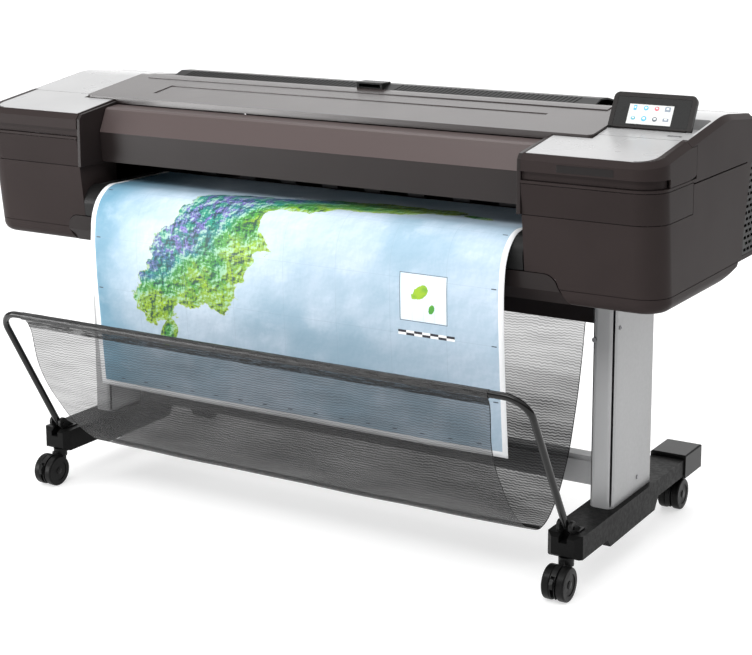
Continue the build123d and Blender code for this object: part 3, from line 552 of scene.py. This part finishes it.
def arc_points(profile, count):
    """Evenly spaced points along a smooth curve through a short list of (y, z) points."""
    curve = bpy.data.curves.new("profile", "CURVE")
    curve.dimensions = "3D"
    curve.resolution_u = 24
    spline = curve.splines.new("BEZIER")
    spline.bezier_points.add(len(profile) - 1)
    for handle, (y, z) in zip(spline.bezier_points, profile):
        handle.co = (0, y, z)
        handle.handle_left_type = handle.handle_right_type = "AUTO"
    carrier = bpy.data.objects.new("profile", curve)
    line = bpy.data.meshes.new_from_object(carrier)
    points = [v.co.copy() for v in line.vertices]
    bpy.data.objects.remove(carrier)
    bpy.data.meshes.remove(line)
    steps = [0.0]
    for a, b in zip(points, points[1:]):
        steps.append(steps[-1] + (b - a).length)
    total = steps[-1]
    made = []
    for i in range(count):
        want = total * i / (count - 1)
        k = max(j for j in range(len(steps) - 1) if steps[j] <= want + 1e-12)
        share = (want - steps[k]) / (steps[k + 1] - steps[k])
        made.append(points[k].lerp(points[k + 1], share))
    return made, total


# ---- printed sheet ------------------------------------------------------------------------------
SHEET_WAVE = 0.006          # how far the hanging part waves, at its lower edge
SHEET_CURL = 0.004          # how far its side edges curl back
PAPER = 0.0003


def printed_sheet():
    """The print, out over the lip and down in front, with a soft belly and slightly lifted edges."""
    low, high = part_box("paper_sheet")
    lip_low, lip_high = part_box("output_lip")
    level = high.z
    front = low.y
    profile = [
        (high.y, level),
        (lip_low.y + 0.075, level),
        (lip_low.y + 0.043, level - 0.0005),
        (lip_low.y + 0.012, level - 0.014),
        (front + 0.014, level - 0.05),
        (front + 0.002, level - 0.105),
        (front + 0.001, level - 0.170),
        (front + 0.009, level - 0.300),
        (front + 0.025, low.z),
    ]
    count, columns = 90, 60
    points, length = arc_points(profile, count)
    rows = []
    for point in points:
        down = max(0.0, (level - point.z) / (level - low.z))
        row = []
        for c in range(columns + 1):
            u = c / columns
            x = low.x + (high.x - low.x) * u
            wave = noise.noise(Vector((u * 3.2, down * 1.7, 4.0))) * SHEET_WAVE * down
            curl = (abs(u - 0.5) * 2) ** 4 * SHEET_CURL * down
            row.append((x, point.y + wave + curl, point.z))
        rows.append(row)
    mesh = strip_mesh("printed_sheet", rows, lambda a, b: (a / columns, 1 - b / (count - 1)))
    piece = new_piece("printed_sheet", mesh, map_print("relief_map", length), "frame")
    thick = piece.modifiers.new("thickness", "SOLIDIFY")
    thick.thickness = PAPER
    thick.offset = 0
    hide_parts("paper_sheet")


# ---- catch basket ----------------------------------------------------------------------------------
BAR_RADIUS = 0.008
NET_RIPPLE = 0.0045         # height of the net's ripples
SIDE_PULL = 0.018           # how far its free side edges draw in
EDGE_FOLD = 0.0022          # width of the sewn side edges


def basket():
    """Net sling: sleeve on the bar, sewn band below it, U-shaped net and a folded hem along its foot."""
    low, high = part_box("basket_mesh")
    bar_low, bar_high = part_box("bin_bar")
    bar = Vector((0, bar_low.y + BAR_RADIUS, bar_high.z - BAR_RADIUS))
    depth, rise = high.y - low.y, high.z - low.z
    shape = [(0.012, 0.83), (0.065, 0.585), (0.2, 0.34), (0.375, 0.125), (0.52, 0.025), (0.63, 0.0),
             (0.745, 0.06), (0.865, 0.23), (0.95, 0.515), (0.985, 0.76), (0.998, 1.0)]
    profile = [(bar.y - BAR_RADIUS * 0.4, bar.z - BAR_RADIUS * 1.15)]
    profile += [(low.y + depth * a, low.z + rise * b) for a, b in shape]
    count, columns = 96, 150
    points, length = arc_points(profile, count)
    half = (high.x - low.x) / 2 - 0.004
    rows = []
    for r, point in enumerate(points):
        share = r / (count - 1)
        belly = math.sin(math.pi * share)
        pull = SIDE_PULL * belly
        row = []
        for c in range(columns + 1):
            u = c / columns
            x = (2 * u - 1) * (half - pull)
            taut = abs(share - 0.47) * 3.0
            slack = NET_RIPPLE * belly * min(1.0, 0.25 + taut)
            ripple = noise.noise(Vector((u * 9.0, share * 3.0, 1.5))) * slack
            edge = abs(2 * u - 1) ** 6 * 0.004 * belly
            row.append((x, point.y + ripple, point.z + edge + ripple * 0.5))
        rows.append(row)
    size = 2 * half
    mesh = strip_mesh("basket_net", rows, lambda a, b: (a / columns * size, b / (count - 1) * length))
    net = new_piece("basket_net", mesh, CAD_LOOKS["mesh_cloth"], None)
    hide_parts("basket_mesh")

    hem = hem_cloth("net_hem", 0.55, 0.12)
    sleeve = hem_cloth("net_sleeve", 0.8, 0.5)
    edges = []
    for side, name, inward in ((0, "net_edge_left", EDGE_FOLD), (columns, "net_edge_right", -EDGE_FOLD)):
        lines = [[(row[side][0], row[side][1] - 0.0004, row[side][2]),
                  (row[side][0] + inward, row[side][1] - 0.0004, row[side][2])] for row in rows]
        edges.append(new_piece(name, strip_mesh("net_edge", lines), hem, None))

    for piece in (net, *edges):
        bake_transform(piece)

    trim = [bar_sleeve(bar, half, sleeve), sewn_band(rows, hem), foot_hem(rows, columns, hem)]


def line_at(rows, share):
    """Line of the net at a share of its length, between its rows."""
    place = share * (len(rows) - 1)
    k = min(int(place), len(rows) - 2)
    return [tuple(Vector(a).lerp(Vector(b), place - k)) for a, b in zip(rows[k], rows[k + 1])]


def bar_sleeve(bar, half, material):
    """Sleeve of folded net round the bar, slightly slack below it."""
    around, columns = 20, 120
    rows = []
    for k in range(around + 1):
        turn = 2 * math.pi * k / around
        row = []
        for c in range(columns + 1):
            x = -half - 0.012 + (2 * half + 0.012) * c / columns
            crease = 0.0004 * noise.noise(Vector((x * 30, turn, 0)))
            slack = 0.0008 + 0.0012 * max(0.0, -math.sin(turn)) + crease
            reach = BAR_RADIUS + slack
            row.append((x, bar.y + reach * math.cos(turn), bar.z + reach * math.sin(turn)))
        rows.append(row)
    return new_piece("bar_sleeve", strip_mesh("bar_sleeve", rows), material, "bin_bar")


def sewn_band(rows, material):
    """Doubled band of net that is sewn along the front, below the sleeve."""
    lines = []
    for k in range(6):
        sag = 0.0010 + 0.0005 * (k % 2)
        row = line_at(rows, 0.0042 * k)
        lines.append([(x, y - sag - 0.0006 * math.sin(x * 300 + k), z) for x, y, z in row])
    return new_piece("sewn_band", strip_mesh("sewn_band", lines), material, "bin_bar")


def foot_hem(rows, columns, material):
    """Folded hem along the lowest line of the sling."""
    lowest = min(range(len(rows)), key=lambda r: rows[r][columns // 2][2])
    around = 8
    lines = []
    for k in range(around + 1):
        turn = 2 * math.pi * k / around
        lines.append([(x, y + 0.0075 * math.cos(turn), z + 0.0022 + 0.0028 * math.sin(turn))
                      for x, y, z in rows[lowest]])
    return new_piece("foot_hem", strip_mesh("foot_hem", lines), material, "frame")


# ---- touchscreen ---------------------------------------------------------------------------------
def display():
    """Backlit menu on the touchscreen: a pale panel, a status strip and two rows of plain icons."""
    low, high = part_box("screen_glass")
    tilt = math.atan2(high.z - low.z, high.y - low.y)
    across = Vector((1, 0, 0))
    up = Vector((0, math.cos(tilt), math.sin(tilt)))
    out = Vector((0, -math.sin(tilt), math.cos(tilt)))
    centre = (low + high) / 2
    centre.x -= 0.004
    turned = Euler((tilt, 0, 0))

    def lay(name, width, height, x, y, material, depth, radius=0.0004, lift=0.0):
        """Lays a thin rounded tile on the glass, across and up from its middle."""
        mesh = rounded_slab(name, width, height, depth, radius)
        piece = bpy.data.objects.new(name, mesh)
        piece.rotation_euler = turned
        piece.location = centre + across * x + up * y + out * (0.0007 + lift)
        bpy.context.scene.collection.objects.link(piece)
        mesh.materials.append(material)
        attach(piece, "control_panel")

    pale = lit("display_pale", (0.46, 0.47, 0.46, 1), 0.40)
    white = lit("dot_white", (0.8, 0.8, 0.8, 1), 0.6)
    amber = lit("mark_amber", (0.45, 0.24, 0.1, 1), 0.4)
    lay("display_panel", 0.100, 0.050, 0, -0.004, pale, 0.0003)
    lay("status_dot", 0.0032, 0.0032, 0.042, 0.0275, white, 0.0003, 0.0015)
    lay("status_mark", 0.007, 0.0022, -0.036, 0.0275, amber, 0.0003)
    blue, red, dark = (0.04, 0.33, 0.66, 1), (0.62, 0.06, 0.10, 1), (0.06, 0.08, 0.10, 1)
    sky, teal, slate = (0.06, 0.36, 0.58, 1), (0.04, 0.30, 0.38, 1), (0.16, 0.20, 0.25, 1)
    icons = ((blue, 0.007, 0.012, 0.0012), (sky, 0.011, 0.011, 0.0054), (red, 0.010, 0.010, 0.0049),
             (slate, 0.013, 0.011, 0.001), (teal, 0.010, 0.008, 0.0039), (blue, 0.012, 0.012, 0.0059),
             (dark, 0.011, 0.011, 0.0054), (slate, 0.013, 0.007, 0.001))
    columns, pitch = 4, 0.0245
    for k, (colour, width, height, radius) in enumerate(icons):
        x = -0.0365 + pitch * (k % columns)
        y = 0.0085 - pitch * (k // columns)
        material = lit(f"icon_colour_{k}", colour, 0.12)
        lay(f"icon_{k}", width, height, x, y, material, 0.0002, radius, 0.0003)
        core = lit(f"icon_core_{k}", (0.75, 0.8, 0.82, 1), 0.4)
        lay(f"icon_core_{k}", width * 0.42, height * 0.3, x, y + 0.001, core, 0.0002, 0.0008, 0.0005)


# ---- small fittings ------------------------------------------------------------------------------
def label_plate():
    """Blank label plate let into the right fascia."""
    low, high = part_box("ink_cover_right")
    mesh = rounded_slab("label_plate", 0.126, 0.0155, 0.0005, 0.0012, 0.0002)
    piece = bpy.data.objects.new("label_plate", mesh)
    piece.rotation_euler = (math.pi / 2, 0, 0)
    piece.location = (low.x + 0.144, low.y + 0.0001, low.z + 0.0295)
    bpy.context.scene.collection.objects.link(piece)
    mesh.materials.append(moulded("label_plastic", tint(WARM_GREY, 0.42), 0.24, 0.01, 0.22))
    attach(piece, "ink_cover_right")


def plate_height():
    """Height of the pale plates' crowned top at a place front to back, read from their own meshes."""
    tops = {}
    for name in ("cover_plate_right", "top_plates"):
        for vertex in nodes[name].data.vertices:
            y = round(vertex.co.y, 3)
            tops[y] = max(tops.get(y, 0.0), vertex.co.z)
    line = sorted(tops.items())

    def at(y):
        for (y0, z0), (y1, z1) in zip(line, line[1:]):
            if y <= y1:
                return z0 + (z1 - z0) * max(0.0, (y - y0) / (y1 - y0))
        return line[-1][1]

    return at


def border_strip(name, outline, inset, top, body):
    """Thin dark border lying on a plate: a strip between an outline and the same line moved inwards."""
    bm = bmesh.new()
    rings = []
    for lift in (-0.0002, 0.0006):
        for line in (outline, inset):
            rings.append([bm.verts.new((x, y, top(y) + lift)) for x, y in line])
    low_out, low_in, high_out, high_in = rings
    for k in range(len(outline) - 1):
        bm.faces.new((high_out[k], high_out[k + 1], high_in[k + 1], high_in[k]))
        bm.faces.new((low_in[k], low_in[k + 1], low_out[k + 1], low_out[k]))
        bm.faces.new((low_out[k], low_out[k + 1], high_out[k + 1], high_out[k]))
        bm.faces.new((high_in[k], high_in[k + 1], low_in[k + 1], low_in[k]))
    for k in (0, -1):
        bm.faces.new((low_out[k], high_out[k], high_in[k], low_in[k]))
    bmesh.ops.recalc_face_normals(bm, faces=bm.faces)
    mesh = bpy.data.meshes.new(name)
    bm.to_mesh(mesh)
    bm.free()
    return new_piece(name, mesh, CAD_LOOKS["body_cover"], body, smooth=False)


BORDER = 0.011              # width of the dark border along the outer side
BORDER_TIP = 0.0015         # width where it ends, at the front of the corner
PLATE_CORNER = 0.048
PARTING = 0.003             # gap between the plates of cover and module


def plate_borders():
    """Dark borders along the outer side of the pale plates, turning in at their front corner."""
    crown = plate_height()
    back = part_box("top_plates")[1]
    for side, name in ((-1, "left"), (1, "right")):
        low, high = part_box("cover_plate_" + name)
        outer = low.x if side < 0 else high.x
        radius = PLATE_CORNER
        corner = Vector((outer - side * radius, low.y + radius))
        outline, inset = [], []
        for step in range(9):
            turn = math.radians(90 * step / 8)
            away = Vector((side * math.sin(turn), -math.cos(turn)))
            width = BORDER_TIP + (BORDER - BORDER_TIP) * math.sin(turn) ** 2
            outline.append(tuple(corner + away * radius))
            inset.append(tuple(corner + away * (radius - width)))
        outline.append((outer, high.y))
        inset.append((outer - side * BORDER, high.y))
        border_strip("cover_border_" + name, outline, inset, crown, "ink_cover_" + name)
        start = high.y + PARTING
        line = [(outer, start), (outer, back.y)]
        border_strip("rear_border_" + name, line, [(x - side * BORDER, y) for x, y in line], crown, "frame")


BLOCK_FACES = ((4, 5, 6, 7), (3, 2, 1, 0), (0, 1, 5, 4), (1, 2, 6, 5), (2, 3, 7, 6), (3, 0, 4, 7))


def ramp_ribs():
    """Slanting ribs on the front slope of the roll cover, left and right of its handle."""
    low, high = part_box("roll_cover")
    foot = Vector((0, low.y + 0.005, 1.0022))
    head = Vector((0, low.y + 0.035, 1.0126))
    lean, width, proud, pitch, count = 0.011, 0.0035, 0.0011, 0.012, 92
    handle_clear = 0.052
    out = Vector((0, foot.z - head.z, head.y - foot.y)).normalized()
    bm = bmesh.new()
    for k in range(count):
        x = low.x + 0.03 + k * pitch
        if abs(x) < handle_clear:
            continue
        ring = []
        for rise in (-0.0004, proud):
            for spot, shift in ((foot, 0.0), (foot, width), (head, width + lean), (head, lean)):
                ring.append(bm.verts.new(spot + out * rise + Vector((x + shift, 0, 0))))
        for quad in BLOCK_FACES:
            bm.faces.new([ring[i] for i in quad])
    mesh = bpy.data.meshes.new("ramp_ribs")
    bm.to_mesh(mesh)
    bm.free()
    new_piece("ramp_ribs", mesh, CAD_LOOKS["black_plastic"], "roll_cover", smooth=False)


def wheel_covers():
    """Raised hub cap on each outer face of the casters' wheels."""
    around = 28
    for place in ("front_left", "front_right", "rear_left", "rear_right"):
        low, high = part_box("caster_wheels_" + place)
        centre = (low + high) / 2
        for side, x in ((-1, low.x), (1, high.x)):
            mesh = bpy.data.meshes.new("hub_cap")
            bm = bmesh.new()
            profile = ((0.0, 0.0012), (0.006, 0.0011), (0.0078, 0.0002), (0.0085, -0.0012))
            rings = []
            for radius, lift in profile:
                ring = []
                reach = max(radius, 0.0004)
                for k in range(around):
                    turn = 2 * math.pi * k / around
                    spot = Vector((side * (lift - 0.0005), reach * math.cos(turn), reach * math.sin(turn)))
                    ring.append(bm.verts.new(Vector((x, centre.y, centre.z)) + spot))
                rings.append(ring)
            bm.faces.new(rings[0])
            for a, b in zip(rings, rings[1:]):
                for k in range(around):
                    n = (k + 1) % around
                    bm.faces.new((a[k], a[n], b[n], b[k]))
            bmesh.ops.recalc_face_normals(bm, faces=bm.faces)
            bm.to_mesh(mesh)
            bm.free()
            name = f"hub_cap_{place}_{'in' if side < 0 else 'out'}"
            new_piece(name, mesh, CAD_LOOKS["brake_black"], "wheels_" + place)


# ---- stage, light and camera ---------------------------------------------------------------------
def stage():
    """Plain pale floor, slightly lit from within so that it stays white."""
    bpy.ops.mesh.primitive_plane_add(size=120, location=(0, 20, 0))
    floor = bpy.context.active_object
    floor.name = "studio_floor"
    g = Graph("studio_floor")
    tone = g.mix(g.noise(0.6, 2.0), (0.54, 0.54, 0.54, 1), (0.56, 0.56, 0.56, 1))
    lift = g.finish(Base_Color=tone, Roughness=0.7, Emission_Color=(1, 1, 1, 1), Emission_Strength=0.55)
    floor.data.materials.append(lift)


def softbox(name, place, target, size, power):
    """Rectangular lamp that the camera can't see, aimed at a point."""
    lamp = bpy.data.lights.new(name, "AREA")
    lamp.shape = "RECTANGLE"
    lamp.size, lamp.size_y = size
    lamp.energy = power
    holder = bpy.data.objects.new(name, lamp)
    holder.location = place
    holder.rotation_euler = (Vector(target) - Vector(place)).to_track_quat("-Z", "Y").to_euler()
    holder.visible_camera = False
    bpy.context.scene.collection.objects.link(holder)


BACKDROP_DIRECTION = (-0.38, 0.92, 0.0)
DIM_WALL = 0.16


def studio_world():
    """White ceiling, bright backdrop behind the machine, dim walls elsewhere."""
    world = bpy.data.worlds.new("studio")
    world.use_nodes = True
    sky = Nodes(world.node_tree)
    direction = sky.add("ShaderNodeTexCoord").outputs["Generated"]
    height = sky.add("ShaderNodeSeparateXYZ", {0: direction}).outputs[2]
    towards = {0: direction, 1: BACKDROP_DIRECTION}
    backdrop = sky.add("ShaderNodeVectorMath", towards, operation="DOT_PRODUCT").outputs["Value"]
    glow = sky.ramp(backdrop, 0.72, 0.97, DIM_WALL, 1.6)
    ceiling = sky.ramp(height, 0.25, 0.7, DIM_WALL, 1.3)
    background = sky.tree.nodes["Background"]
    background.inputs["Color"].default_value = (1, 1, 1, 1)
    sky.feed(background.inputs["Strength"], sky.math("MAXIMUM", glow, ceiling))
    bpy.context.scene.world = world


def lights():
    """Studio light: the surroundings and three softboxes."""
    studio_world()
    softbox("top_softbox", (-0.1, 1.2, 3.8), (-0.1, 0, 0.7), (4.0, 3.0), 70)
    softbox("left_softbox", (-3.3, -3.1, 0.95), (-0.6, -0.2, 0.75), (2.4, 1.7), 120)
    softbox("front_top", (0.2, -3.3, 4.3), (0, -0.2, 0.8), (4.0, 1.6), 130)
    view = bpy.context.scene.view_settings
    view.view_transform = "Standard"
    view.look = "None"


IMAGE_WIDTH = 752.0
FOCAL_PIXELS = 1726.4
SENSOR = 36.0


def camera():
    """Raised three-quarter view from the front right, with a long lens."""
    lens = bpy.data.cameras.new("camera")
    lens.sensor_width = SENSOR
    lens.lens = FOCAL_PIXELS / IMAGE_WIDTH * SENSOR
    lens.shift_x = -0.0367
    lens.shift_y = -0.1696
    lens.clip_end = 200
    holder = bpy.data.objects.new("camera", lens)
    azimuth, pitch = math.radians(30.574), math.radians(10.433)
    holder.location = (2.1695, -3.3949, 1.4909)
    holder.rotation_euler = (math.pi / 2 - pitch, 0, azimuth)
    bpy.context.scene.collection.objects.link(holder)
    bpy.context.scene.camera = holder


camera()
dress_cad_nodes()
printed_sheet()
basket()
display()
label_plate()
plate_borders()
ramp_ribs()
wheel_covers()
stage()
lights()
